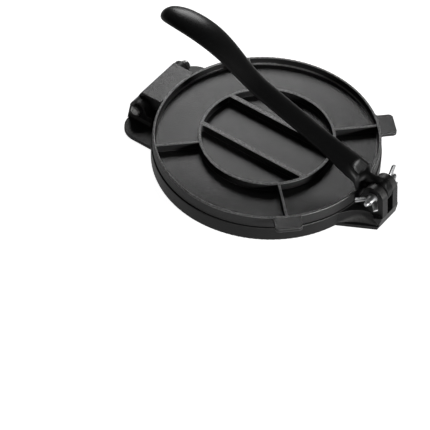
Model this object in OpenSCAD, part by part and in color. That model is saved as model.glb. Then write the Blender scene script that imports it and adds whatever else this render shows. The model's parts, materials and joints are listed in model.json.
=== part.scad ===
// Cast-iron tortilla press: two flat pressing plates hinged at the back, closed by a lever at the front.
// The origin is the centre of the plates on the surface that the press stands on.
// +X points to the lever's clevis, -X to the hinge, +Z up. All sizes are in millimetres.

/* [Plates] */
// Outer diameter of the lid's rim
rim_d = 260; // [230:1:300]
// Thickness of the rim that stands round the lid's top
rim_wall = 2.9; // [2:0.1:5]
// Height of the lid, from its pressing face to the top of the rim
lid_h = 14.7; // [12:0.1:20]
// Thickness of the lid's pressing plate
lid_plate_t = 5.2; // [4:0.1:8]
// Height of the base, from the table to its pressing face
base_h = 19; // [16:0.5:26]
// How far the base reaches past the lid's rim
base_lip = 1.4; // [0:0.1:4]
// Gap between the two pressing faces when the press is closed
plate_gap = 0.3; // [0.2:0.1:1]
// Rounding of the rim's edges
edge_r = 0.9; // [0.3:0.1:1.2]
// Fillet between the lid's plate and the inside of its rim
rim_fillet = 2.5; // [1:0.5:5]

/* [Ribs on the lid] */
// Outer diameter of the ring rib
ring_d = 156.4; // [120:1:180]
// Thickness of the ring rib
ring_wall = 3.4; // [2:0.1:6]
// Clear space between the two bars inside the ring
bar_gap = 50.4; // [20:0.5:70]
// Thickness of each bar
bar_w = 6; // [3:0.5:10]
// Thickness of each spoke between the ring and the rim
spoke_w = 3; // [2:0.1:6]
// How far the ribs stay below the top of the rim
rib_drop = 0.3; // [0:0.1:3]
// Fillet in the corners where a bar meets the ring
bar_fillet = 1.6; // [0.5:0.1:2.5]

/* [Finger tabs] */
// How far a tab reaches past the rim
tab_reach = 17.8; // [8:0.5:30]
// Width of a tab
tab_w = 31; // [16:1:45]
// Thickness of a tab
tab_t = 4; // [2:0.5:8]
// Angle of each tab from the front
tab_angle = 45; // [35:1:70]
// Rounding of a tab's outer corners
tab_corner = 5; // [1:0.5:7]
// Fillet between a tab and the rim
tab_fillet = 3; // [2:1:16]

/* [Underside of the base] */
// Thickness of the base's pressing plate
base_plate_t = 6.5; // [5:0.5:9]
// Thickness of the skirt round the underside
skirt_wall = 6; // [3:0.5:12]
// Outer diameter of the ring rib below
under_ring_d = 150; // [90:1:190]
// Thickness of the ribs below
under_rib_w = 4; // [2:0.5:8]
// How far the ribs below stay above the table
under_rib_lift = 3; // [1:0.5:8]

/* [Hinge] */
// Distance from the rim's outside to the hinge bolt
hinge_out = 21.2; // [20:0.2:30]
// Height of the hinge bolt over the table
hinge_z = 17.8; // [16:0.2:22]
// Diameter of the hinge bolt
hinge_bolt_d = 8; // [6:0.5:9]
// Width of the lid's hinge block
block_w = 62.6; // [40:0.2:90]
// How far the block's top reaches behind the hinge bolt
block_back = 3.6; // [2:0.2:8]
// Rounding of the block's top back edge
block_edge_r = 3; // [1:0.5:5]
// Radius of the knuckle round the hinge bolt
knuckle_r = 10.5; // [8:0.5:12]
// Side gap between the block and each ear
ear_gap = 0.4; // [0.2:0.1:1]
// Thickness of each ear of the base
ear_t = 11.5; // [6:0.5:16]
// Radius of the ear's round top
ear_r = 10.7; // [10:0.1:15]
// How far the back of each ear leans out towards the table
ear_lean = 3; // [0:0.5:4]
// Height of the web between each ear and the plate
ear_web_z = 14.5; // [10:0.5:16]
// Fillet at the foot of each ear
ear_fillet = 5; // [2:0.5:8]

/* [Foot] */
// Width of the foot behind the plates
foot_w = 144; // [110:1:180]
// How far the foot reaches behind the hinge bolt
foot_back = 9; // [5:0.5:13]
// Rounding of the foot's back corners
foot_corner = 24; // [6:1:30]
// Thickness of the foot, and of the lip round the front arm
flange_t = 4; // [3:0.5:6]

/* [Front arm and clevis] */
// Distance from the rim's outside to the pivot stud
pivot_out = 23.8; // [23.4:0.2:28]
// Height of the pivot stud over the table
pivot_z = 41.5; // [40.5:0.5:46]
// Radius of the round top of each cheek
cheek_r = 13.2; // [12:0.2:14]
// Thickness of each cheek
cheek_t = 9.2; // [6:0.2:11]
// Height of the floor between the cheeks
fork_floor = 17; // [10:0.5:18]
// How far the arm reaches ahead of the pivot stud
front_reach = 15.2; // [14:0.2:15.6]
// How far the arm's front leans back between the fork's floor and the table
front_rake = 3.8; // [0:0.2:5]
// Width of the arm at its front
arm_front_w = 33; // [32:1:44]
// Width of the arm where it leaves the plate
arm_root_w = 82; // [60:1:110]
// Width of the lip between the arm's edge and its hollow flank
lip_w = 2; // [1:0.5:4]
// Rounding of the arm's front corners
arm_corner = 4; // [3:0.5:12]

/* [Lever] */
// Horizontal reach from the pivot stud to the tip
lever_reach = 302.6; // [292:0.2:320]
// Thickness of the tongue between the cheeks
tongue_t = 10; // [8:0.2:13]
// Side gap between the tongue and each cheek
tongue_gap = 0.5; // [0.2:0.1:1]
// Radius of the tongue round the stud
hub_r = 12.8; // [10:0.2:13]
// Width of the shank
shank_w = 26; // [20:1:32]
// Widest part of the grip
grip_w = 37; // [28:1:44]
// Width of the shoulder just behind the nose
shoulder_w = 34; // [24:1:35]
// Thickness of the shank above its edge line
shank_crown = 8; // [6:0.5:11]
// Thickness of the shank below its edge line
shank_belly = 5; // [3:0.5:8]
// Slope of the straight shank
shank_slope = 18.9; // [12:0.1:24]
// Distance behind the stud at which the straight shank ends
shank_end = 161.3; // [140:0.1:180]
// Distance behind the stud of the grip's highest point
crest_back = 273.3; // [250:0.1:280]
// Height of the grip's highest point over the stud
crest_rise = 102; // [95:0.5:110]
// How far the tip drops below the grip's highest point
tip_drop = 6; // [0:0.5:15]

/* [Pivot stud and wing nuts] */
// Diameter of the stud
stud_d = 6; // [5:0.5:8]
// How far each end of the stud stands out of its wing nut
stud_proud = 4.5; // [1:0.5:6]
// Outer diameter of the washers
washer_d = 12; // [11:0.5:16]
// Thickness of the washers
washer_t = 1.6; // [1:0.1:2.5]
// Diameter of the wing nut's barrel at its washer
barrel_d = 11; // [10:0.5:14]
// Length of the wing nut's barrel
barrel_h = 8.5; // [6:0.5:10]
// Span over the tips of the two wings
wing_span = 31; // [26:0.5:36]
// Height of the wings' tips over the washer
wing_h = 16; // [14:0.5:20]
// Thickness of a wing
wing_t = 2.4; // [1.6:0.1:3.5]
// Width over the flats of the hinge bolt's head and nut
hex_af = 13; // [11:0.5:15]
// Thickness of the hinge bolt's head
head_h = 5.3; // [4:0.1:7]
// Height of the hinge bolt's self-locking nut
nut_h = 9.5; // [6:0.5:10]
// How far the hinge bolt's end stands out of its nut
bolt_proud = 1; // [0.5:0.5:3]
// Radial clearance of a bolt or stud in the bores round it
fit = 0.05; // [0.02:0.01:0.08]

/* [Hidden] */

iron = [0.13, 0.13, 0.135];
satin = [0.08, 0.08, 0.085];
zinc = [0.78, 0.79, 0.80];

seam = 0.02;    // how far pieces of one casting run into each other
past = 1;       // how far a cutter runs past the face that it opens
root_in = 30;   // how far the arm, the foot and the tabs run in under the plates before they are cut
bite = edge_r + 0.5; // how far a fillet's straight sides run into the walls that it joins

rim_r = rim_d / 2;
base_r = rim_r + base_lip;
lid_z = base_h + plate_gap;
rim_z = lid_z + lid_h;
floor_z = lid_z + lid_plate_t;
rib_z = rim_z - rib_drop;
ring_r = ring_d / 2;

hinge_x = -rim_r - hinge_out;
ear_in = block_w / 2 + ear_gap;
ear_out = ear_in + ear_t;

pivot_x = rim_r + pivot_out;
cheek_in = tongue_t / 2 + tongue_gap;
cheek_out = cheek_in + cheek_t;
cheek_root = 18.5;    // how far the foot of a cheek reaches behind the stud
front_x = pivot_x + front_reach;

// ---- outlines -------------------------------------------------------------------------------

function unit(v) = v / norm(v);
function left_of(v) = [-v[1], v[0]];

// A convex outline, listed anticlockwise, with each corner rounded by its own radius. The straight
// parts are a polygon through the tangent points, and each corner is a true circle.
module rounded(corners, radii) {
    count = len(corners);
    rounds = [for (i = [0 : count - 1])
        let (before = unit(corners[i] - corners[(i + count - 1) % count]),
             after = unit(corners[(i + 1) % count] - corners[i]),
             turn = acos(before * after),
             back = radii[i] * tan(turn / 2))
        [corners[i] - before * back, corners[i] + after * back,
         corners[i] - before * back + left_of(before) * radii[i]]];
    polygon([for (r = rounds) for (point = [r[0], r[1]]) point]);
    for (i = [0 : count - 1])
        if (radii[i] > 0) translate(rounds[i][2]) circle(radii[i], $fn = 64);
}

// The fillet in the corner between a round wall of radius r and a straight wall along X at y = level.
// The corner lies outside the round wall where face is 1 and inside it where face is -1, and above the
// straight wall where side is 1 and below it where side is -1.
module corner(r, face, level, side, fillet) {
    reach = r + face * fillet;
    centre_y = level + side * fillet;
    centre = [sqrt(reach * reach - centre_y * centre_y), centre_y];
    on_wall = centre * r / reach;
    in_wall = centre * (r - face * bite) / reach;
    difference() {
        polygon([[centre[0], level - side * bite], centre, on_wall, in_wall,
                 [sqrt(r * r - level * level) - face * bite, level - side * bite]]);
        translate(centre) circle(fillet, $fn = 64);
    }
}

// A disc's edge profile, for rotate_extrude, with rounded outer corners.
module edge_profile(r, bottom, top, bottom_r, top_r) {
    rounded([[0, bottom], [r, bottom], [r, top], [0, top]], [0, bottom_r, top_r, 0]);
}

module bore(x, z, d, half_length) {
    translate([x, 0, z]) rotate([90, 0, 0])
        cylinder(d = d + 2 * fit, h = 2 * half_length, center = true, $fn = 64);
}

// Places a flat outline drawn in X and Z, as a slab between two distances from the middle plane.
module slab(y_from, y_to) {
    translate([0, y_to, 0]) rotate([90, 0, 0]) linear_extrude(y_to - y_from) children();
}

module both_sides() {
    children();
    mirror([0, 1, 0]) children();
}

// ---- base -----------------------------------------------------------------------------------

// Unit direction of the arm's right side, from the plate to the front, and its outward normal.
arm_start = [sqrt(pow(base_r, 2) - pow(arm_root_w / 2, 2)), -arm_root_w / 2];
arm_end = [front_x, -arm_front_w / 2];
arm_angle = atan2(arm_end[1] - arm_start[1], arm_end[0] - arm_start[0]);

module arm_plan() {
    rounded([[arm_start[0] - root_in, arm_start[1] - root_in * tan(arm_angle)], arm_end,
             [arm_end[0], -arm_end[1]],
             [arm_start[0] - root_in, -arm_start[1] + root_in * tan(arm_angle)]],
            [0, arm_corner, arm_corner, 0]);
}

// A cone beside the arm, whose surface is the arm's hollow flank. It touches the top of the lip along
// the arm's edge, and the outer face of the cheek along a line that climbs towards the plate.
module flank_cutter() {
    edge_x = arm_end[0] + (arm_end[1] + lip_w + cheek_out) / tan(-arm_angle);
    spread = tan(arm_angle) / sqrt(1 + 2 * pow(tan(arm_angle), 2));
    length = 120;
    axis = [-sqrt(1 - 2 * spread * spread), -spread, spread];
    translate([edge_x, -cheek_out, flange_t])
        rotate([0, acos(axis[2]), atan2(axis[1], axis[0])])
            cylinder(r1 = 0, r2 = length * tan(asin(spread)), h = length, $fn = 128);
}

module arm() {
    difference() {
        linear_extrude(fork_floor) arm_plan();
        both_sides() flank_cutter();
    }
    linear_extrude(flange_t) arm_plan();
}

// Outline of a cheek in X and Z: a round top over straight flanks that run down into the arm.
module cheek_outline() {
    translate([pivot_x, pivot_z]) circle(cheek_r, $fn = 96);
    root_back = [pivot_x - cheek_root, flange_t];
    root_front = [front_x, fork_floor];
    polygon([[root_back[0], 0], [front_x, 0], root_front, tangent_point(root_front, -1),
             tangent_point(root_back, 1), root_back]);
}

// Where a line from a point below touches the cheek's round top, on the chosen side.
function tangent_point(from, side) =
    let (to_centre = [pivot_x, pivot_z] - from,
         reach = norm(to_centre),
         spread = asin(cheek_r / reach) * side,
         run = sqrt(reach * reach - cheek_r * cheek_r),
         way = unit(to_centre))
    from + run * [way[0] * cos(spread) - way[1] * sin(spread),
                  way[0] * sin(spread) + way[1] * cos(spread)];

// Cuts the arm's front so that it leans back from the fork's floor down to the table.
module front_cutter() {
    below = [front_x - front_rake * (1 + past / fork_floor), -past];
    slab(-foot_w / 2, foot_w / 2)
        polygon([[front_x, fork_floor], below, [front_x + past, -past], [front_x + past, fork_floor]]);
}

module foot_plan() {
    back_x = hinge_x - foot_back;
    rounded([[back_x, -foot_w / 2], [0, -foot_w / 2], [0, foot_w / 2], [back_x, foot_w / 2]],
            [foot_corner, 0, 0, foot_corner]);
}

// Outline of an ear in X and Z: a round top round the hinge bolt, over a foot that joins the plate.
module ear_outline() {
    front_turn = 20;
    front_foot = 2.5;
    translate([hinge_x, hinge_z]) circle(ear_r, $fn = 96);
    polygon([[hinge_x - ear_r - ear_lean, 0], [-rim_r, 0], [-rim_r, ear_web_z],
             [hinge_x + ear_r + front_foot, ear_web_z],
             [hinge_x + ear_r * cos(front_turn), hinge_z + ear_r * sin(front_turn)],
             [hinge_x, hinge_z], [hinge_x - ear_r, hinge_z]]);
}

// The concave fillet between an ear's outer face and the foot.
module ear_root() {
    translate([hinge_x - ear_r, 0, flange_t - seam])
        rotate([90, 0, 90]) linear_extrude(hinge_out + ear_r)
            difference() {
                translate([-ear_out - ear_fillet, 0]) square([ear_fillet + seam, ear_fillet]);
                translate([-ear_out - ear_fillet, ear_fillet]) circle(ear_fillet, $fn = 48);
            }
}

module base_underside() {
    depth = base_h - base_plate_t;
    difference() {
        translate([0, 0, -past]) cylinder(r = base_r - skirt_wall, h = depth + past, $fn = 180);
        translate([0, 0, under_rib_lift]) {
            difference() {
                cylinder(d = under_ring_d, h = depth, $fn = 128);
                translate([0, 0, -past])
                    cylinder(d = under_ring_d - 2 * under_rib_w, h = depth + 2 * past, $fn = 128);
            }
            for (turn = [45 : 90 : 315]) rotate([0, 0, turn])
                translate([under_ring_d / 2 - under_rib_w / 2, -under_rib_w / 2, 0])
                    cube([base_r, under_rib_w, depth]);
        }
    }
}

module base() {
    color(iron) difference() {
        union() {
            rotate_extrude($fn = 180) edge_profile(base_r, 0, base_h, edge_r, edge_r);
            difference() {
                linear_extrude(flange_t) foot_plan();
                translate([-rim_r + root_in, -foot_w, -past]) cube([rim_r, 2 * foot_w, flange_t + 2 * past]);
            }
            both_sides() {
                slab(ear_in, ear_out) ear_outline();
                ear_root();
                intersection() {
                    slab(cheek_in, cheek_out) cheek_outline();
                    linear_extrude(pivot_z + cheek_r + past) arm_plan();
                }
            }
            arm();
        }
        base_underside();
        front_cutter();
        bore(hinge_x, hinge_z, hinge_bolt_d, ear_out + past);
        bore(pivot_x, pivot_z, stud_d, cheek_out + past);
    }
}

// ---- lid ------------------------------------------------------------------------------------

module lid_disc() {
    difference() {
        rotate_extrude($fn = 180) edge_profile(rim_r, lid_z, rim_z, edge_r, edge_r);
        rotate_extrude($fn = 180)
            rounded([[0, floor_z], [rim_r - rim_wall, floor_z],
                     [rim_r - rim_wall, rim_z + past], [0, rim_z + past]], [0, rim_fillet, 0, 0]);
    }
}

module ribs() {
    rib_h = rib_z - floor_z + seam;
    bar_mid = bar_gap / 2 + bar_w / 2;
    bar_half = sqrt(pow(ring_r - ring_wall / 2, 2) - pow(bar_gap / 2 + bar_w, 2));
    translate([0, 0, floor_z - seam]) {
        difference() {
            cylinder(r = ring_r, h = rib_h, $fn = 128);
            translate([0, 0, -past]) cylinder(r = ring_r - ring_wall, h = rib_h + 2 * past, $fn = 128);
        }
        both_sides() translate([-bar_half, bar_mid - bar_w / 2, 0]) cube([2 * bar_half, bar_w, rib_h]);
        for (turn = [45 : 90 : 315]) rotate([0, 0, turn])
            translate([ring_r - ring_wall / 2, -spoke_w / 2, 0])
                cube([rim_r - rim_wall / 2 - ring_r + ring_wall / 2, spoke_w, rib_h]);
        linear_extrude(rib_h) bar_corners();
    }
}

module bar_corners() {
    ring_in = ring_r - ring_wall;
    for (side = [0, 1]) mirror([0, side]) for (end = [0, 1]) mirror([end, 0]) {
        corner(ring_in, -1, bar_gap / 2 + bar_w, 1, bar_fillet);
        corner(ring_in, -1, bar_gap / 2, -1, bar_fillet);
    }
}

module tab() {
    inner = rim_r - rim_wall / 2;
    reach = rim_r + tab_reach;
    translate([0, 0, rim_z - tab_t]) linear_extrude(tab_t) difference() {
        union() {
            rounded([[inner - root_in, -tab_w / 2], [reach, -tab_w / 2], [reach, tab_w / 2],
                     [inner - root_in, tab_w / 2]], [0, tab_corner, tab_corner, 0]);
            for (side = [0, 1]) mirror([0, side]) corner(rim_r, 1, tab_w / 2, 1, tab_fillet);
        }
        circle(inner, $fn = 180);
    }
}

// Side view of the hinge block: its top runs level with the rim and its back drops to the knuckle.
module block_outline() {
    top_back = hinge_x - block_back;
    front_low = -base_r - 0.6;
    translate([hinge_x, hinge_z]) circle(knuckle_r, $fn = 96);
    rounded([[hinge_x, hinge_z - knuckle_r], [hinge_x + knuckle_r * sin(45), hinge_z - knuckle_r * cos(45)],
             [front_low, lid_z], [-rim_r + rim_wall, lid_z], [-rim_r + rim_wall, rim_z], [top_back, rim_z],
             [hinge_x - knuckle_r * 0.9, hinge_z + knuckle_r * 0.43]],
            [0, 0, 0, 0, 0, block_edge_r, 0]);
}

module hinge_block() {
    difference() {
        intersection() {
            slab(-block_w / 2, block_w / 2) block_outline();
            translate([hinge_x - 2 * knuckle_r, -block_w / 2, 0]) cube([2 * rim_r, block_w, 2 * rim_z]);
        }
        translate([0, 0, floor_z]) cylinder(r = rim_r - rim_wall, h = lid_h, $fn = 180);
        translate([0, 0, -past]) cylinder(r = rim_r - rim_wall, h = lid_z + past + seam, $fn = 180);
    }
}

module lid() {
    color(iron) difference() {
        union() {
            lid_disc();
            ribs();
            for (side = [-1, 1]) rotate([0, 0, side * tab_angle]) tab();
            hinge_block();
        }
        bore(hinge_x, hinge_z, hinge_bolt_d, block_w / 2 + past);
    }
}

// ---- lever ----------------------------------------------------------------------------------
// The lever is drawn round the pivot stud, with its grip towards -X, and then moved to the stud.

ring_points = 28;
shank_rings = 8;
bend_rings = 20;
tip_rings = 12;

function ease(t) = let (u = min(max(t, 0), 1)) u * u * (3 - 2 * u);
function hermite(a, b, ta, tb, t) =
    a * (2 * t * t * t - 3 * t * t + 1) + ta * (t * t * t - 2 * t * t + t)
    + b * (3 * t * t - 2 * t * t * t) + tb * (t * t * t - t * t);

neck_back = 25.8;       // where the wide shank starts to narrow towards the tongue
nose_low = -6.2;        // height of the nose's bottom over the stud
neck_rise = 10.3;       // height of the shank's middle line over the stud there
bend_pull = [121, 180]; // how far each end of the bend keeps its direction
tip_pull = [34, 30];
tip_fall = 12;
grip_start = shank_end + 12;
grip_run = 75;          // length over which the shank widens to the grip
shoulder_run = 60;      // length over which the shoulder narrows to the shank
tip_round = 25;         // how far behind the crest's front the rounding of the tip starts
tip_power = 2.7;        // 2 makes the tip's outline an ellipse, more makes it squarer

shank_dir = [-cos(shank_slope), sin(shank_slope)];
crest = [-crest_back, crest_rise];
bend_start = [-shank_end, shank_rise(shank_end)];
tip = [-lever_reach, crest_rise - tip_drop];
function shank_rise(back) = neck_rise + (back - neck_back) * tan(shank_slope);

// Middle line of the wide part, from the neck to the tip, as points in X and Z.
wide_line = concat(
    [for (i = [0 : shank_rings - 1]) let (b = neck_back + (shank_end - neck_back) * i / shank_rings)
        [-b, shank_rise(b)]],
    [for (i = [0 : bend_rings - 1])
        hermite(bend_start, crest, shank_dir * bend_pull[0], [-bend_pull[1], 0], i / bend_rings)],
    [for (i = [0 : tip_rings])
        hermite(crest, tip, [-tip_pull[0], 0], [-tip_pull[1], -tip_fall], sin(90 * i / tip_rings))]);

function half_width(back) =
    let (grip = ease((back - grip_start) / grip_run),
         shoulder = 1 - ease((back - neck_back) / shoulder_run),
         round_from = crest_back - tip_round,
         along_tip = max(0, (back - round_from) / (lever_reach - round_from)),
         round_end = pow(max(0, 1 - pow(along_tip, tip_power)), 1 / tip_power),
         full = shank_w / 2 + grip * (grip_w - shank_w) / 2 + shoulder * (shoulder_w - shank_w) / 2)
    max(0.4, full * round_end);

function wide_ring(i) =
    let (here = wide_line[i],
         way = unit(wide_line[min(i + 1, len(wide_line) - 1)] - wide_line[max(i - 1, 0)]),
         up = [-way[1], way[0]] * -1,
         w = half_width(-here[0]),
         deep = min(1, w / (shank_w / 2)))
    [for (k = [0 : ring_points - 1])
        let (a = 360 * k / ring_points,
             rise = (sin(a) > 0 ? shank_crown : shank_belly) * deep * sin(a))
        [here[0] + up[0] * rise, w * cos(a), here[1] + up[1] * rise]];

// Stations of the neck: distance behind the stud at the top and at the bottom, half width, then the
// heights of the top, of the widest line and of the bottom over the stud. The lowest form the nose.
neck = [
    [24.6, 23.6, 16.6, 18.9, 8, -1],
    [22, 22.8, 16, 18.4, 5, -5.4],
    [20, 21.8, 14.4, 18, 4, nose_low],
    [18, 20.4, 10.5, 17.7, 5, -5.9],
    [15.5, 19.4, tongue_t / 2, 17.5, 7.5, -4.8],
    [8, 10, tongue_t / 2 - 0.1, 17.2, 11.5, -7],
    [-2, 0, tongue_t / 2 - 0.2, 17, 15.5, -7]];

// A ring round the neck: round above its widest line, and nearly square below it.
function neck_ring(station) =
    [for (k = [0 : ring_points - 1])
        let (c = cos(360 * k / ring_points), s = sin(360 * k / ring_points),
             power = s > 0 ? 1 : 0.5,
             rise = sign(s) * pow(abs(s), power),
             back = station[1] + (station[0] - station[1]) * (rise + 1) / 2)
        [-back, station[2] * sign(c) * pow(abs(c), power),
         station[4] + rise * (s > 0 ? station[3] - station[4] : station[4] - station[5])]];

module wide_body() {
    rings = concat([for (i = [len(neck) - 1 : -1 : 0]) neck_ring(neck[i])],
                   [for (i = [0 : len(wide_line) - 1]) wide_ring(i)]);
    last = len(rings) - 1;
    polyhedron(
        points = [for (r = rings) for (point = r) point],
        faces = concat(
            [[for (k = [ring_points - 1 : -1 : 0]) k]],
            [[for (k = [0 : ring_points - 1]) last * ring_points + k]],
            [for (i = [0 : last - 1]) for (k = [0 : ring_points - 1])
                let (a = i * ring_points + k, b = i * ring_points + (k + 1) % ring_points)
                for (f = [[a, b, a + ring_points], [b, b + ring_points, a + ring_points]]) f]));
}

// The flat tongue between the cheeks, round the stud.
module tongue() {
    slab(-tongue_t / 2, tongue_t / 2) {
        circle(hub_r, $fn = 96);
        rounded([[-18, -5], [0, -hub_r], [hub_r, -2], [hub_r, 8.5], [4.5, 18.5], [-18, 6.3]],
                [0, 4, 4, 7, 6, 0]);
    }
}

module lever() {
    color(satin) translate([pivot_x, 0, pivot_z]) difference() {
        union() {
            wide_body();
            tongue();
        }
        bore(0, 0, stud_d, tongue_t);
    }
}

// ---- stud, washers and nuts -----------------------------------------------------------------

washer_y = cheek_out;
nut_y = washer_y + washer_t;
stud_half = nut_y + barrel_h + stud_proud;
end_chamfer = 0.6;

// A round bar along Y with a small chamfer at both ends.
module bar(d, y_from, y_to, chamfer) {
    translate([0, y_to, 0]) rotate([90, 0, 0]) {
        length = y_to - y_from;
        translate([0, 0, chamfer]) cylinder(d = d, h = length - 2 * chamfer, $fn = 64);
        cylinder(d1 = d - 2 * chamfer, d2 = d, h = chamfer, $fn = 64);
        translate([0, 0, length - chamfer]) cylinder(d1 = d, d2 = d - 2 * chamfer, h = chamfer, $fn = 64);
    }
}

module pivot_stud() {
    color(zinc) translate([pivot_x, 0, pivot_z]) bar(stud_d, -stud_half, stud_half, end_chamfer);
}

module washer() {
    translate([pivot_x, -washer_y, pivot_z]) rotate([90, 0, 0]) difference() {
        cylinder(d = washer_d, h = washer_t, $fn = 64);
        translate([0, 0, -past]) cylinder(d = stud_d + 2 * fit, h = washer_t + 2 * past, $fn = 64);
    }
}

module right_washer() { color(zinc) washer(); }
module left_washer() { color(zinc) mirror([0, 1, 0]) washer(); }

// A wing nut along -Y: a tapered barrel with two flat wings that lean outwards to square tips.
module wing_nut() {
    wing_lift = 0.6;
    tip_w = 3.5;
    tip_r = 1.2;
    rotate([90, 0, 0]) difference() {
        union() {
            cylinder(d1 = barrel_d, d2 = barrel_d - 2, h = barrel_h, $fn = 64);
            for (turn = [0, 180]) rotate([0, 0, turn])
                rotate([90, 0, 0]) translate([0, 0, -wing_t / 2]) linear_extrude(wing_t)
                    rounded([[0, wing_lift], [barrel_d / 2 - 0.3, wing_lift], [wing_span / 2, wing_h * 0.72],
                             [wing_span / 2 - tip_w, wing_h], [barrel_d / 2 - 2, barrel_h * 0.74],
                             [0, barrel_h * 0.26]],
                            [0, 0, tip_r, tip_r, 0, 0]);
        }
        translate([0, 0, -past]) cylinder(d = stud_d + 2 * fit, h = wing_h + 2 * past, $fn = 64);
    }
}

module right_wing_nut() { color(zinc) translate([pivot_x, -nut_y, pivot_z]) wing_nut(); }
module left_wing_nut() {
    color(zinc) translate([pivot_x, nut_y, pivot_z]) mirror([0, 1, 0]) rotate([0, 78, 0]) wing_nut();
}

module hex(h) {
    rotate([90, 0, 0]) rotate([0, 0, 30]) cylinder(d = hex_af / cos(30), h = h, $fn = 6);
}

module hinge_bolt() {
    color(zinc) translate([hinge_x, 0, hinge_z]) {
        bar(hinge_bolt_d, -ear_out - head_h / 2, ear_out + nut_h + bolt_proud, end_chamfer);
        translate([0, -ear_out, 0]) hex(head_h);
    }
}

module hinge_nut() {
    color(zinc) translate([hinge_x, ear_out + nut_h, hinge_z]) difference() {
        hex(nut_h);
        rotate([90, 0, 0]) translate([0, 0, -past])
            cylinder(d = hinge_bolt_d + 2 * fit, h = nut_h + 2 * past, $fn = 64);
    }
}

base();
lid();
lever();
pivot_stud();
right_washer();
left_washer();
right_wing_nut();
left_wing_nut();
hinge_bolt();
hinge_nut();
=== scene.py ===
import json
import math

import bmesh
import bpy
from mathutils import Matrix, Vector

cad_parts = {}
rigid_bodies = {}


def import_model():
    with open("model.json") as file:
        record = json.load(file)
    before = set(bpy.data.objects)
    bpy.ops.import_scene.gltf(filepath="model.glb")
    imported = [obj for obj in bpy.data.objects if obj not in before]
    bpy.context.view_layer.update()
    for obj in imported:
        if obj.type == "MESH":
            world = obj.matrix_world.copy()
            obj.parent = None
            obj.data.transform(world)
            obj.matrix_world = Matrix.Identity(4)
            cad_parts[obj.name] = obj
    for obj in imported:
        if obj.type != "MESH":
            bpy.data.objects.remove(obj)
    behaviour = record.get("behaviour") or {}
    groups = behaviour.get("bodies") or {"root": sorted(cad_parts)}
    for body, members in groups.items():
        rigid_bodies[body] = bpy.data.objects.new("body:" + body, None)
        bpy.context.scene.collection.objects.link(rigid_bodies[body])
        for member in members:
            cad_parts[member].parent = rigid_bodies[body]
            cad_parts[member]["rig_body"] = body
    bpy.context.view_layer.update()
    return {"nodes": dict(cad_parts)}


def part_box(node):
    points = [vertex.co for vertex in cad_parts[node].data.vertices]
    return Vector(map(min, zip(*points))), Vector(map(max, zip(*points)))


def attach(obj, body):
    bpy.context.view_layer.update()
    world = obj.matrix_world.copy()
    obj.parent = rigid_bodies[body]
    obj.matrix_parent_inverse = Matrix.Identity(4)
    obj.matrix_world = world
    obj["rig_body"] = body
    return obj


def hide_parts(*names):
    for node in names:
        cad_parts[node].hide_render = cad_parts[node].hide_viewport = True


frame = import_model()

scene = bpy.context.scene
MM = 0.001


# ---- Base casting ---------------------------------------------------------------------------
# The lower plate, its foot, the hinge ears and the forked front arm are one grey-iron casting.
# It comes out of a sand mould with a fine pebbled skin, and is oil-seasoned to a dull black.

def grey(level):
    return (level, level, level, 1)


def empty_material(name):
    material = bpy.data.materials.new(name)
    material.use_nodes = True
    tree = material.node_tree
    tree.nodes.clear()
    out = tree.nodes.new("ShaderNodeOutputMaterial")
    return material, tree, out.inputs["Surface"]


def start_material(name):
    """A material with its main shader, and the place on the object to lay patterns on."""
    material, tree, surface = empty_material(name)
    skin = tree.nodes.new("ShaderNodeBsdfPrincipled")
    tree.links.new(skin.outputs["BSDF"], surface)
    place = tree.nodes.new("ShaderNodeTexCoord")
    return material, tree, skin, place.outputs["Object"]


def feed(tree, socket, value):
    """Links another node's output to a socket, or sets the socket to a plain value."""
    if isinstance(value, bpy.types.NodeSocket):
        tree.links.new(value, socket)
    else:
        socket.default_value = value


def noise(tree, at, scale, detail, roughness):
    node = tree.nodes.new("ShaderNodeTexNoise")
    node.inputs["Scale"].default_value = scale
    node.inputs["Detail"].default_value = detail
    node.inputs["Roughness"].default_value = roughness
    tree.links.new(at, node.inputs["Vector"])
    return node.outputs["Fac"]


def ramp(tree, value, stops):
    """Turns a value into a colour, or into a grey where a stop holds only a level."""
    node = tree.nodes.new("ShaderNodeValToRGB")
    band = node.color_ramp
    for i, (where, colour) in enumerate(stops):
        stop = band.elements[i] if i < 2 else band.elements.new(where)
        stop.position = where
        stop.color = (*colour, 1) if isinstance(colour, tuple) else grey(colour)
    tree.links.new(value, node.inputs["Fac"])
    return node.outputs["Color"]


def mix_colour(tree, amount, low, high, how="MIX"):
    """Mixes two colours. The Mix node has sockets of the same name, so they go by number."""
    node = tree.nodes.new("ShaderNodeMix")
    node.data_type = "RGBA"
    node.blend_type = how
    factor, first, second, result = node.inputs[0], node.inputs[6], node.inputs[7], node.outputs[2]
    feed(tree, factor, amount)
    feed(tree, first, low)
    feed(tree, second, high)
    return result


def calculate(tree, how, one, two=0.0):
    node = tree.nodes.new("ShaderNodeMath")
    node.operation = how
    feed(tree, node.inputs[0], one)
    feed(tree, node.inputs[1], two)
    return node.outputs[0]


def axes(tree, vector):
    node = tree.nodes.new("ShaderNodeSeparateXYZ")
    tree.links.new(vector, node.inputs[0])
    return node.outputs["X"], node.outputs["Y"], node.outputs["Z"]


def bump(tree, height, strength, depth, under=None):
    """A relief of a depth in millimetres, over another relief or soft edge where one is given."""
    node = tree.nodes.new("ShaderNodeBump")
    node.inputs["Strength"].default_value = strength
    node.inputs["Distance"].default_value = depth * MM
    tree.links.new(height, node.inputs["Height"])
    if under is not None:
        tree.links.new(under, node.inputs["Normal"])
    return node.outputs["Normal"]


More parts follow.
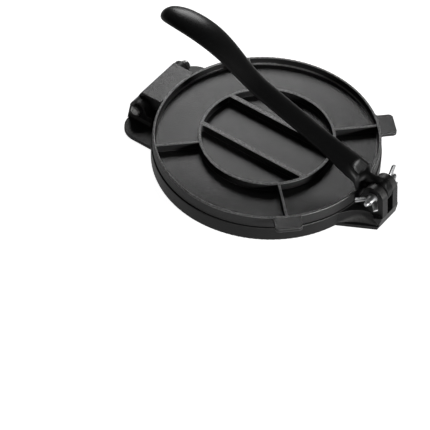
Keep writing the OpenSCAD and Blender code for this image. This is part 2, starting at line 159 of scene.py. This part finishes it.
def rubbed_and_highlit_edges(tree, level, radius):
    """A soft normal over the edges, and from 0 to 1 how bare from rubbing their open corners are,
    which also paints a highlight on them.
    """
    shield_reach, samples = 6 * MM, 6
    soft = tree.nodes.new("ShaderNodeBevel")
    soft.samples = samples
    soft.inputs["Radius"].default_value = radius * MM
    surface = tree.nodes.new("ShaderNodeNewGeometry")
    same = tree.nodes.new("ShaderNodeVectorMath")
    same.operation = "DOT_PRODUCT"
    tree.links.new(soft.outputs["Normal"], same.inputs[0])
    tree.links.new(surface.outputs["Normal"], same.inputs[1])
    turned = ramp(tree, same.outputs["Value"], [(0.86, 1.0), (0.997, 0.0)])
    rounding = ramp(tree, level, [(0.2, 0.0), (0.4, 1.0), (0.85, 1.0), (0.98, 0.0)])
    open_air = tree.nodes.new("ShaderNodeAmbientOcclusion")
    open_air.samples = samples
    open_air.inputs["Distance"].default_value = shield_reach
    bare = ramp(tree, open_air.outputs["AO"], [(0.55, 0.0), (0.8, 1.0)])
    corner = mix_colour(tree, 1.0, turned, rounding, "LIGHTEN")
    return soft.outputs["Normal"], mix_colour(tree, 1.0, corner, bare, "MULTIPLY")


def crest_wear_and_highlight(tree, at, lowest, reach, share):
    """A share of bare metal from rubbing, and of painted highlight, on whatever is above a height
    and within a radius of the Z axis.
    """
    x, y, z = axes(tree, at)
    x_squared = calculate(tree, "MULTIPLY", x, x)
    y_squared = calculate(tree, "MULTIPLY", y, y)
    out_from_middle = calculate(tree, "SQRT", calculate(tree, "ADD", x_squared, y_squared))
    above = calculate(tree, "GREATER_THAN", z, lowest * MM)
    within = calculate(tree, "LESS_THAN", out_from_middle, reach * MM)
    return calculate(tree, "MULTIPLY", calculate(tree, "MULTIPLY", above, within), share)


def cast_relief(tree, at, grain, under):
    """Slow waves, then the pebbles and the finer sand grain that the mould leaves."""
    waves = noise(tree, at, scale=60, detail=2, roughness=0.5)
    pebbles = noise(tree, at, scale=480, detail=3, roughness=0.65)
    sand = noise(tree, at, scale=1700, detail=2, roughness=0.6)
    wavy = bump(tree, waves, strength=0.12, depth=1.0, under=under)
    pebbled = bump(tree, pebbles, strength=grain, depth=0.6, under=wavy)
    return bump(tree, sand, strength=grain, depth=0.2, under=pebbled)


def sand_cast(name, dark, light, worn_highlight_colour, flat_roughness, wall_roughness, worn_roughness, gloss_level,
              grain, edge_radius, crests_worn_and_highlit=None):
    """Black iron: dressed flats, sandier walls, and edges bared by rubbing that show greyer metal,
    which is also a painted highlight on them.
    """
    material, tree, skin, at = start_material(name)
    facing = tree.nodes.new("ShaderNodeTexCoord")
    level = calculate(tree, "ABSOLUTE", axes(tree, facing.outputs["Normal"])[2])
    soft_normal, bared_and_highlit = rubbed_and_highlit_edges(tree, level, edge_radius)
    if crests_worn_and_highlit is not None:
        bared_and_highlit = mix_colour(tree, 1.0, bared_and_highlit, crest_wear_and_highlight(tree, at, **crests_worn_and_highlit), "LIGHTEN")
    scuffs = noise(tree, at, scale=420, detail=4, roughness=0.7)
    wear_and_highlight = mix_colour(tree, 1.0, bared_and_highlit, ramp(tree, scuffs, [(0.35, 0.6), (0.65, 1.0)]), "MULTIPLY")

    patches = noise(tree, at, scale=28, detail=4, roughness=0.6)
    tint = ramp(tree, patches, [(0.35, dark), (0.7, light)])
    grains = noise(tree, at, scale=900, detail=3, roughness=0.6)
    colour = mix_colour(tree, 1.0, tint, ramp(tree, grains, [(0.3, 0.62), (0.7, 1.0)]), "MULTIPLY")
    # Painted highlight: the lighter, partly metallic colour on bared edges and rib tops stands in
    # for their shine as well as for rubbing.
    tree.links.new(mix_colour(tree, wear_and_highlight, colour, (*worn_highlight_colour, 1)), skin.inputs["Base Color"])

    wall = ramp(tree, level, [(0.3, 1.0), (0.8, 0.0)])
    as_cast = mix_colour(tree, wall, grey(flat_roughness), grey(wall_roughness))
    polish = ramp(tree, scuffs, [(0.35, 0.86), (0.65, 1.0)])
    dull = mix_colour(tree, 1.0, as_cast, polish, "MULTIPLY")
    tree.links.new(mix_colour(tree, wear_and_highlight, dull, grey(worn_roughness)), skin.inputs["Roughness"])

    worn_metallic = 0.35
    tree.links.new(mix_colour(tree, wear_and_highlight, grey(0), grey(worn_metallic)), skin.inputs["Metallic"])
    tree.links.new(cast_relief(tree, at, grain, soft_normal), skin.inputs["Normal"])
    skin.inputs["Specular IOR Level"].default_value = gloss_level
    return material


def coat(solid, material):
    """Gives its finish to a solid that is shown as it is."""
    solid.data.materials.clear()
    solid.data.materials.append(material)


iron_skin = sand_cast(
    "black_iron_skin", dark=(0.014, 0.014, 0.0145), light=(0.020, 0.0195, 0.0195),
    worn_highlight_colour=(0.10, 0.099, 0.097), flat_roughness=0.42, wall_roughness=0.44, worn_roughness=0.40,
    gloss_level=0.30, grain=0.3, edge_radius=1.4)
coat(frame["nodes"]["base"], iron_skin)


# ---- Flanks of the front arm ----------------------------------------------------------------
# The skirt of the base sweeps out into the arm on both sides in a deep hollow, cast in one with
# it: upright under its top edge, and flat where it runs out on the lip along the table.

def hollow_section(shape, x, y_top, z_top, y_lip, z_lip, steps=10):
    """A closed loop across the arm: the hollow curve, then round through the casting."""
    below_lip, inside_y = 1.5, -11.0
    corners = []
    for i in range(steps + 1):
        turn = math.radians(90 * i / steps)
        corners.append((y_lip + (y_top - y_lip) * math.cos(turn),
                        z_top - (z_top - z_lip) * math.sin(turn)))
    corners += [(y_lip, z_lip - below_lip), (inside_y, z_lip - below_lip), (inside_y, z_top)]
    points = [shape.verts.new((x * MM, y * MM, z * MM)) for y, z in corners]
    return [shape.edges.new((a, b)) for a, b in zip(points, points[1:] + points[:1])]


def make_piece(shape, name, material, smooth_angle):
    """Makes a shape an object that is shaded smooth, apart from edges sharper than an angle."""
    mesh = bpy.data.meshes.new(name)
    shape.to_mesh(mesh)
    shape.free()
    mesh.materials.append(material)
    mesh.shade_smooth()
    mesh.set_sharp_from_angle(angle=math.radians(smooth_angle))
    piece = bpy.data.objects.new(name, mesh)
    scene.collection.objects.link(piece)
    return piece


# From the skirt out to the fork: X, then Y and Z of the hollow's top edge and of its lip.
hollow_stations = [(124.5, -40.6, 18.4, -41.0, 4.0), (128.5, -35.0, 18.4, -38.4, 3.7),
                   (133.0, -28.6, 18.4, -35.6, 3.4), (137.0, -24.2, 18.3, -33.2, 3.2),
                   (141.0, -20.9, 18.2, -30.9, 3.1), (145.5, -18.2, 18.0, -28.4, 3.1),
                   (150.0, -16.3, 17.6, -25.9, 3.1), (155.0, -15.0, 17.0, -23.1, 3.1),
                   (160.0, -14.6, 16.2, -20.3, 3.1), (163.8, -14.5, 15.4, -18.2, 3.1)]
flank = bmesh.new()
loops = [hollow_section(flank, *station) for station in hollow_stations]
for one, two in zip(loops, loops[1:]):
    bmesh.ops.bridge_loops(flank, edges=one + two)
bmesh.ops.holes_fill(flank, edges=[e for e in flank.edges if e.is_boundary], sides=0)
copied = bmesh.ops.duplicate(flank, geom=flank.verts[:] + flank.edges[:] + flank.faces[:])
other_side = [v for v in copied["geom"] if isinstance(v, bmesh.types.BMVert)]
bmesh.ops.scale(flank, vec=(1, -1, 1), verts=other_side)
bmesh.ops.recalc_face_normals(flank, faces=flank.faces)
flanks = make_piece(flank, "arm_flanks", iron_skin, 35)
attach(flanks, "base_body")


# ---- Lid casting ----------------------------------------------------------------------------
# The upper plate is cast with a thin rim, a ring rib, two bars and spokes that keep it flat, and
# two finger tabs. A square block behind it turns on the hinge bolt between the ears of the base.

# Painted highlight: the tops of the rim and ribs take the lighter bare-metal colour too, for
# rubbing and for the shine along them.
lid_skin = sand_cast(
    "lid_iron_skin", dark=(0.016, 0.016, 0.0165), light=(0.022, 0.0215, 0.0215),
    worn_highlight_colour=(0.34, 0.339, 0.337), flat_roughness=0.27, wall_roughness=0.58, worn_roughness=0.30,
    gloss_level=0.58, grain=0.8, edge_radius=1.3,
    crests_worn_and_highlit={"lowest": 33.3, "reach": 130.2, "share": 0.5})
coat(frame["nodes"]["lid"], lid_skin)


# ---- Lever ----------------------------------------------------------------------------------
# The lever is one slim iron casting, dressed smoother than the plates where the hand slides on
# it. Its tongue turns on the stud between the cheeks of the fork.

def stand_for(node, shape, name, material, place, smooth_angle):
    """Moves a shape to its place and makes it the piece that stands for a solid."""
    bmesh.ops.remove_doubles(shape, verts=shape.verts, dist=0.001 * MM)
    bmesh.ops.recalc_face_normals(shape, faces=shape.faces)
    bmesh.ops.transform(shape, matrix=place, verts=shape.verts)
    piece = make_piece(shape, name, material, smooth_angle)
    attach(piece, frame["nodes"][node]["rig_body"])
    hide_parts(node)


lever_skin = sand_cast(
    "lever_iron_skin", dark=(0.005, 0.005, 0.0052), light=(0.008, 0.008, 0.008),
    worn_highlight_colour=(0.012, 0.012, 0.012), flat_roughness=0.31, wall_roughness=0.52, worn_roughness=0.52,
    gloss_level=0.34, grain=0.06, edge_radius=1.6)
bar = bmesh.new()
bar.from_mesh(frame["nodes"]["lever"].data)
stand_for("lever", bar, "lever_casting", lever_skin, Matrix.Identity(4), 40)


# ---- Pivot stud and washers -----------------------------------------------------------------
# A length of zinc-plated threaded rod runs through the cheeks and the lever. A flat washer lies
# between each cheek and its wing nut.

def bright_zinc(name, colour, low_roughness, high_roughness):
    """Zinc plate on steel, with a fine mottle in its colour and its shine."""
    material, tree, skin, at = start_material(name)
    shaded = tuple(c * 0.82 for c in colour)
    mottle = noise(tree, at, scale=300, detail=3, roughness=0.6)
    tree.links.new(ramp(tree, mottle, [(0.3, shaded), (0.7, colour)]), skin.inputs["Base Color"])
    film = noise(tree, at, scale=700, detail=3, roughness=0.6)
    tree.links.new(ramp(tree, film, [(0.3, low_roughness), (0.75, high_roughness)]),
                   skin.inputs["Roughness"])
    ripple = noise(tree, at, scale=1200, detail=2, roughness=0.6)
    tree.links.new(bump(tree, ripple, strength=0.25, depth=0.1), skin.inputs["Normal"])
    skin.inputs["Metallic"].default_value = 1.0
    return material


def lathe(shape, profile, steps=48):
    """Spins a profile of radius and height round Z into a closed ring or solid."""
    points = [shape.verts.new((r * MM, 0, z * MM)) for r, z in profile]
    lines = [shape.edges.new((a, b)) for a, b in zip(points, points[1:])]
    bmesh.ops.spin(shape, geom=points + lines, cent=(0, 0, 0), axis=(0, 0, 1),
                   angle=2 * math.pi, steps=steps, use_merge=True)


def thread(radius, pitch, start, end):
    """Profile points of a rolled thread between two heights."""
    root_r = radius - 0.55 * pitch
    points = []
    for i in range(int((end - start) / pitch)):
        low = start + i * pitch
        points += [(root_r, low + 0.1 * pitch), (radius, low + 0.45 * pitch),
                   (radius, low + 0.65 * pitch)]
    return points


def along_y(centre, outwards, turn=0.0):
    """Moves a shape from Z to a line along Y through a point, with its X turned round the line."""
    flip = Matrix.Rotation(math.radians(-90 if outwards > 0 else 90), 4, "X")
    return Matrix.Translation(centre) @ Matrix.Rotation(math.radians(turn), 4, "Y") @ flip


zinc = bright_zinc("bright_zinc", (0.60, 0.605, 0.61), 0.32, 0.48)
stud_low, stud_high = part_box("pivot_stud")
stud_middle = (stud_low + stud_high) / 2
stud_half = (stud_high.y - stud_low.y) / 2 / MM
stud_r = (stud_high.z - stud_low.z) / 2 / MM
stud_pitch, plain_half, thread_from, thread_short_of_end, stud_chamfer = 1.0, 4.5, 5, 0.6, 0.7

stud = bmesh.new()
threaded = thread(stud_r, stud_pitch, thread_from, stud_half - thread_short_of_end)
lathe(stud, [(0, -stud_half), (stud_r - stud_chamfer, -stud_half)]
      + [(r, -z) for r, z in reversed(threaded)]
      + [(stud_r, -plain_half), (stud_r, plain_half)] + threaded
      + [(stud_r - stud_chamfer, stud_half), (0, stud_half)])
stand_for("pivot_stud", stud, "stud_rod", zinc, along_y(stud_middle, 1), 20)

hole_r, hole_foot_r, hole_edge = stud_r + 0.1, stud_r + 0.3, 0.15
rolled_edge, sheared_edge = 0.35, 0.2
for node in ("right_washer", "left_washer"):
    low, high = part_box(node)
    thick, outer = (high.y - low.y) / MM, (high.z - low.z) / 2 / MM
    ring = bmesh.new()
    lathe(ring, [(hole_foot_r, 0), (outer - rolled_edge, 0), (outer, rolled_edge),
                 (outer, thick - sheared_edge), (outer - sheared_edge, thick),
                 (hole_r + hole_edge, thick), (hole_r, thick - hole_edge), (hole_foot_r, 0)])
    foot = Vector((stud_middle.x, low.y, stud_middle.z))
    stand_for(node, ring, node + "_disc", zinc, along_y(foot, 1), 25)


# ---- Wing nuts ------------------------------------------------------------------------------
# The wing nuts are cold-forged and zinc-plated: a tapered barrel with two flat wings that lean
# outwards. Each turns on its own end of the stud and pinches the fork on the lever.

barrel_profile = [(3.3, 0), (5.1, 0), (5.5, 0.5), (5.35, 1.6), (4.75, 7.2), (4.3, 8.3), (3.9, 8.5),
                  (3.25, 8.5), (3.02, 8.2), (3.02, 0.4), (3.3, 0)]
wing_outline = [(2.6, 0.7), (5.2, 0.7), (9.2, 4.0), (15.15, 11.1), (15.05, 12.5), (12.9, 15.6),
                (11.6, 15.7), (7.2, 10.6), (3.5, 6.4), (2.6, 5.6)]
wing_t, wing_rounding = 2.3, 0.55


def forged_wing(shape, side):
    """One flat wing, extruded from its outline and rounded along its edges."""
    corners = [shape.verts.new((side * x * MM, -wing_t / 2 * MM, z * MM)) for x, z in wing_outline]
    grown = bmesh.ops.extrude_face_region(shape, geom=[shape.faces.new(corners)])
    top = [v for v in grown["geom"] if isinstance(v, bmesh.types.BMVert)]
    bmesh.ops.translate(shape, verts=top, vec=(0, wing_t * MM, 0))
    wing = set(corners) | set(top)
    rims = [e for e in shape.edges if e.verts[0] in wing and e.verts[1] in wing]
    bmesh.ops.bevel(shape, geom=rims, offset=wing_rounding * MM, segments=3, profile=0.5,
                    affect="EDGES", material=-1, clamp_overlap=True)


for node, outwards, turn in (("right_wing_nut", -1, 0), ("left_wing_nut", 1, 78)):
    low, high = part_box(node)
    nut = bmesh.new()
    lathe(nut, barrel_profile, 40)
    forged_wing(nut, 1)
    forged_wing(nut, -1)
    foot = Vector((stud_middle.x, low.y if outwards > 0 else high.y, stud_middle.z))
    stand_for(node, nut, node + "_forging", zinc, along_y(foot, outwards, turn), 40)


# ---- Hinge bolt and nut ---------------------------------------------------------------------
# A hex bolt runs through both ears and the lid's block. Its head is on the right, and a
# self-locking nut with a rounded collar is on the left. Both are zinc-plated steel.

def hex_prism(shape, flats, low, high, chamfer=0.9):
    """A hexagon between two heights, with its corners chamfered at both ends."""
    corner_r = flats / math.sqrt(3)
    made = bmesh.ops.create_cone(shape, cap_ends=True, segments=6, radius1=corner_r * MM,
                                 radius2=corner_r * MM, depth=(high - low) * MM)["verts"]
    bmesh.ops.translate(shape, verts=made, vec=(0, 0, (low + high) / 2 * MM))
    bmesh.ops.bevel(shape, geom=made, offset=chamfer * MM, segments=2, profile=0.5,
                    affect="VERTICES", material=-1, clamp_overlap=True)


# A darker copy of the zinc for the hinge bolt and nut.
darker_zinc = bright_zinc("darker_zinc", (0.34, 0.34, 0.335), 0.34, 0.5)
bolt_low, bolt_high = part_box("hinge_bolt")
nut_low, nut_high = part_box("hinge_nut")
hinge_middle = (nut_low + nut_high) / 2
hinge_turn, bolt_r, flats = 12, 4.0, 11.8

bolt_end = (bolt_high.y - bolt_low.y) / MM
head_flats_from, head_h = 1.1, 5.3
head_face = [(0, 0.5), (2.6, 0.5), (3.4, 0), (4.7, 0), (5.8, 1.2), (0, 1.2)]
bolt_pitch, threaded_length, bolt_chamfer, inside_head = 1.25, 14, 0.8, 0.3
bolt = bmesh.new()
hex_prism(bolt, flats, head_flats_from, head_h)
lathe(bolt, head_face, 40)
rolled = thread(bolt_r, bolt_pitch, bolt_end - threaded_length, bolt_end - bolt_chamfer)
lathe(bolt, [(0, head_h - inside_head), (bolt_r, head_h - inside_head)] + rolled
      + [(bolt_r - bolt_chamfer, bolt_end), (0, bolt_end)])
stand_for("hinge_bolt", bolt, "hinge_bolt_steel", darker_zinc,
          along_y(Vector((hinge_middle.x, bolt_low.y, hinge_middle.z)), 1, hinge_turn), 25)

nut_h = (nut_high.y - nut_low.y) / MM
hex_h, collar_r, bore_r = 6.6, 5.9, bolt_r + 0.1
collar_foot = hex_h - 1
nut = bmesh.new()
hex_prism(nut, flats, 0, hex_h)
lathe(nut, [(bore_r, collar_foot), (collar_r, collar_foot), (collar_r, nut_h - 1.5),
            (collar_r - 0.4, nut_h - 0.5), (collar_r - 1, nut_h), (bore_r, nut_h),
            (bore_r, collar_foot)], 40)
stand_for("hinge_nut", nut, "hinge_nut_steel", darker_zinc,
          along_y(Vector((hinge_middle.x, nut_low.y, hinge_middle.z)), 1, hinge_turn), 25)


# ---- Floor, lamps and camera ----------------------------------------------------------------
# A white studio floor, a soft key lamp behind and to the left, a weak fill from the left, and a
# low card on the right that lights the walls of the castings.

def white_stage(name, brightness, in_reflections, shade):
    """A matt floor that shows at one brightness, and at a share of it in reflections."""
    material, tree, surface = empty_material(name)
    matt = tree.nodes.new("ShaderNodeBsdfDiffuse")
    matt.inputs["Color"].default_value = grey(shade)
    rays = tree.nodes.new("ShaderNodeLightPath").outputs
    seen = calculate(tree, "MAXIMUM", rays["Is Camera Ray"], rays["Is Transmission Ray"])
    mirrored = calculate(tree, "MULTIPLY", rays["Is Glossy Ray"], in_reflections)
    level = calculate(tree, "MULTIPLY", calculate(tree, "ADD", seen, mirrored), brightness)
    glow = tree.nodes.new("ShaderNodeEmission")
    tree.links.new(level, glow.inputs["Strength"])
    both = tree.nodes.new("ShaderNodeAddShader")
    tree.links.new(matt.outputs[0], both.inputs[0])
    tree.links.new(glow.outputs[0], both.inputs[1])
    tree.links.new(both.outputs[0], surface)
    return material


floor_half = 6.0
grid = bmesh.new()
bmesh.ops.create_grid(grid, x_segments=1, y_segments=1, size=floor_half)
white_floor = white_stage("white_floor", brightness=0.97, in_reflections=0.43, shade=0.8)
floor = make_piece(grid, "studio_floor", white_floor, 35)

world = bpy.data.worlds.new("studio")
scene.world = world
world.use_nodes = True
world_light = 0.04
sky = world.node_tree.nodes["Background"]
sky.inputs["Color"].default_value = grey(1)
sky_rays = world.node_tree.nodes.new("ShaderNodeLightPath").outputs
white_behind = calculate(world.node_tree, "MAXIMUM", sky_rays["Is Camera Ray"], world_light)
world.node_tree.links.new(white_behind, sky.inputs["Strength"])


def soft_lamp(name, place, target, width, height, watts):
    data = bpy.data.lights.new(name, "AREA")
    data.shape = "RECTANGLE"
    data.size, data.size_y, data.energy = width, height, watts
    lamp = bpy.data.objects.new(name, data)
    scene.collection.objects.link(lamp)
    lamp.location = place
    lamp.visible_camera = False
    lamp.rotation_euler = (Vector(target) - Vector(place)).to_track_quat("-Z", "Y").to_euler()


soft_lamp("back_window", place=(-0.47, 0.60, 0.54), target=(-0.12, 0.10, 0.02),
          width=0.36, height=0.36, watts=2.5)
soft_lamp("left_fill", place=(-1.2, -0.7, 0.9), target=(0, 0, 0.03),
          width=0.8, height=0.8, watts=0.12)
soft_lamp("low_card", place=(1.58, -0.12, 0.25), target=(0, 0, 0.03),
          width=0.2, height=0.14, watts=17)

image_px, focal_px, sensor_mm = 430, 2932.79, 36
azimuth, elevation, roll = math.radians(34.137), math.radians(46.288), math.radians(2.511)
distance, aim_height, aim_left, aim_down = 3.33237, 0.020, 0.05441, 0.08388

back = Vector((math.sin(azimuth) * math.cos(elevation), -math.cos(azimuth) * math.cos(elevation),
               math.sin(elevation)))
level_right = Vector((math.cos(azimuth), math.sin(azimuth), 0))
level_up = back.cross(level_right)
right = math.cos(roll) * level_right + math.sin(roll) * level_up
up = -math.sin(roll) * level_right + math.cos(roll) * level_up
aim = Vector((0, 0, aim_height)) - aim_left * level_right - aim_down * level_up
camera_data = bpy.data.cameras.new("studio_camera")
camera_data.sensor_width = sensor_mm
camera_data.lens = focal_px * sensor_mm / image_px
camera_data.shift_x, camera_data.shift_y = -0.5 / image_px, 0.5 / image_px
camera_data.clip_end = 20
camera = bpy.data.objects.new("studio_camera", camera_data)
scene.collection.objects.link(camera)
stance = Matrix((right, up, back)).transposed().to_4x4()
camera.matrix_world = Matrix.Translation(aim + back * distance) @ stance
scene.camera = camera
scene.view_settings.view_transform = "Standard"
